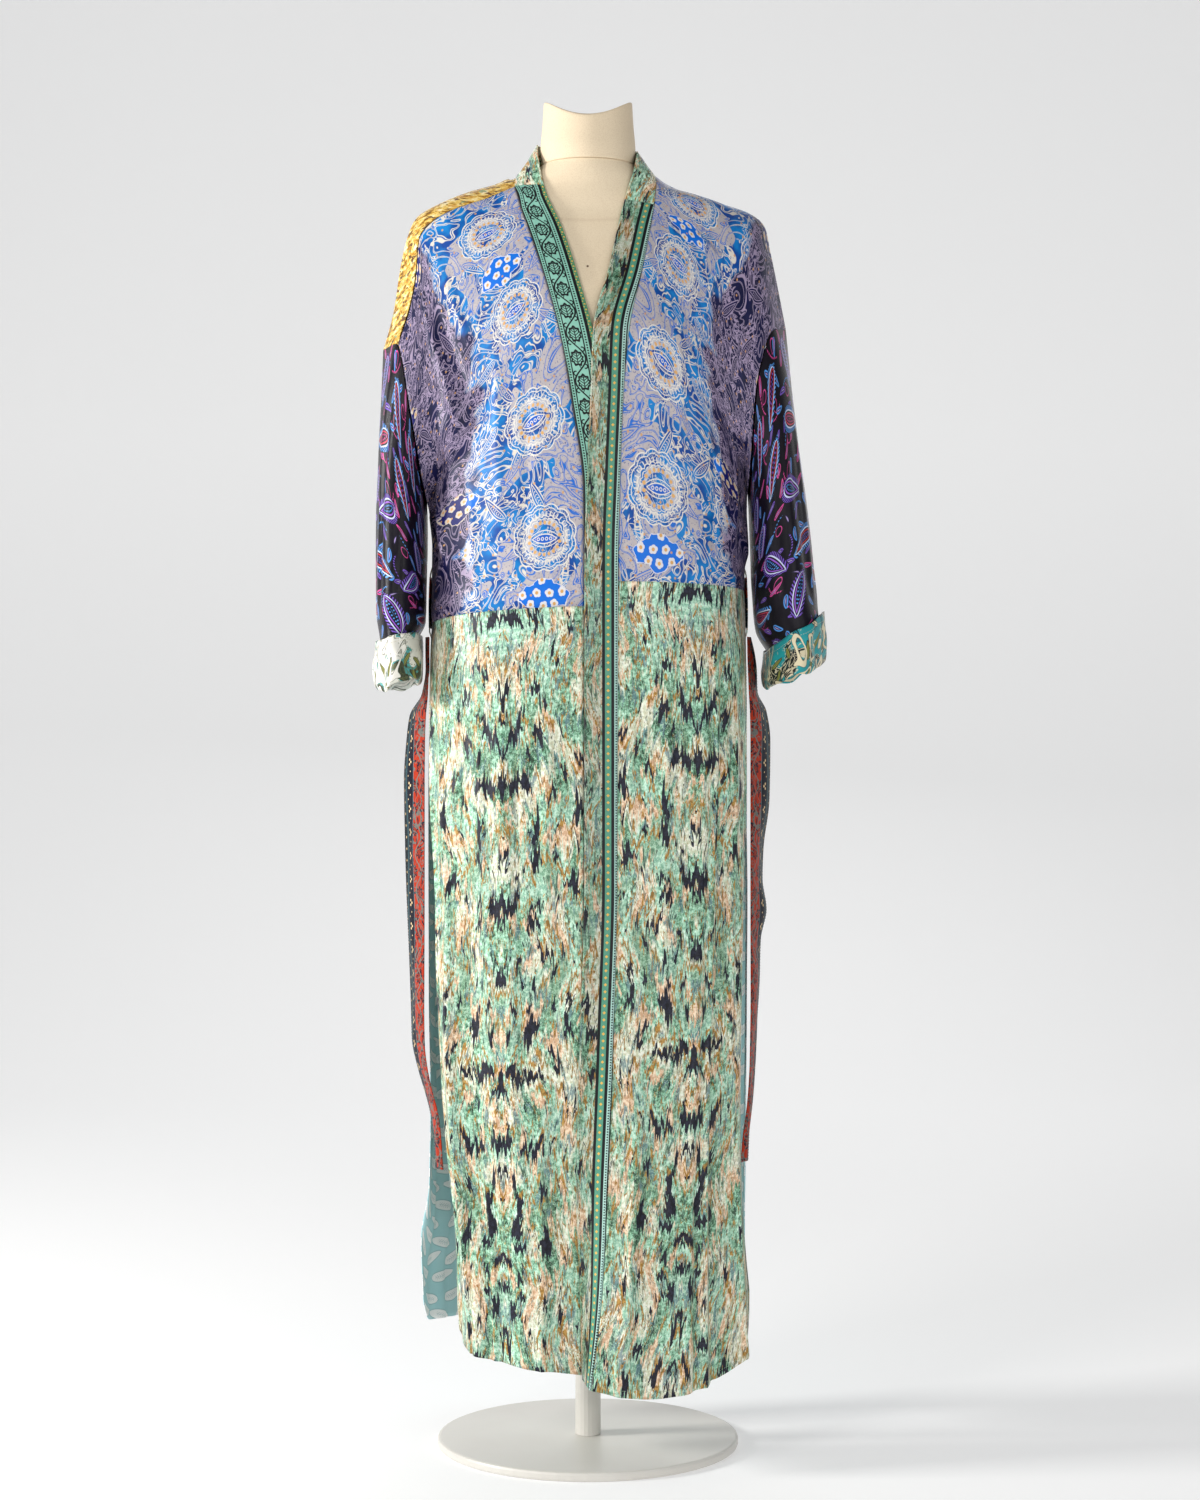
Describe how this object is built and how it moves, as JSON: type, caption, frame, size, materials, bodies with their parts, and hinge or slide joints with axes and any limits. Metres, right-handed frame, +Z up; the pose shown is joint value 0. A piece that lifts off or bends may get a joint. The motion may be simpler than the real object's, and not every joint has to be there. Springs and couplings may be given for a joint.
{
  "type": "patchwork kimono robe on a dress form",
  "caption": "Ankle-length patchwork kimono robe with a neckband, turned-back cuffs and a hanging sash, worn open by a headless dress form on a round stand.",
  "frame": {"origin": "centre of the stand base's underside, on the floor below the form's neck", "axes": "+Z up along the pole and the form's neck, front of the robe towards -Y, the wearer's right side towards -X"},
  "size_m": [0.5025, 0.33, 1.4726],
  "materials": {
    "blue_paisley": "satin printed cloth",
    "green_ikat": "satin printed cloth",
    "gold_mottle": "satin printed cloth",
    "teal_paisley": "satin printed cloth",
    "night_paisley": "satin printed cloth",
    "cream_scroll": "satin printed cloth",
    "vine_border": "satin printed cloth",
    "striped_border": "satin printed cloth",
    "rust_sash": "satin printed cloth",
    "form_jersey": "matte knit cover",
    "stand_enamel": "satin enamel"
  },
  "bodies": {
    "root": {"form_torso": "form_jersey", "form_neck": "form_jersey", "stand_base": "stand_enamel", "stand_pole": "stand_enamel", "front_upper_right": "blue_paisley", "front_upper_left": "blue_paisley", "front_lower_right": "green_ikat", "front_lower_left": "green_ikat", "back_upper": "gold_mottle", "back_lower": "teal_paisley", "band_right": "vine_border", "band_left": "striped_border", "band_neck": "green_ikat", "sleeve_right": "night_paisley", "sleeve_left": "night_paisley", "cuff_right": "cream_scroll", "cuff_left": "cream_scroll", "sash_back": "rust_sash", "sash_end_right": "rust_sash", "sash_end_left": "rust_sash", "sash_loop_right": "green_ikat", "sash_loop_left": "green_ikat"}
  },
  "joints": []
}
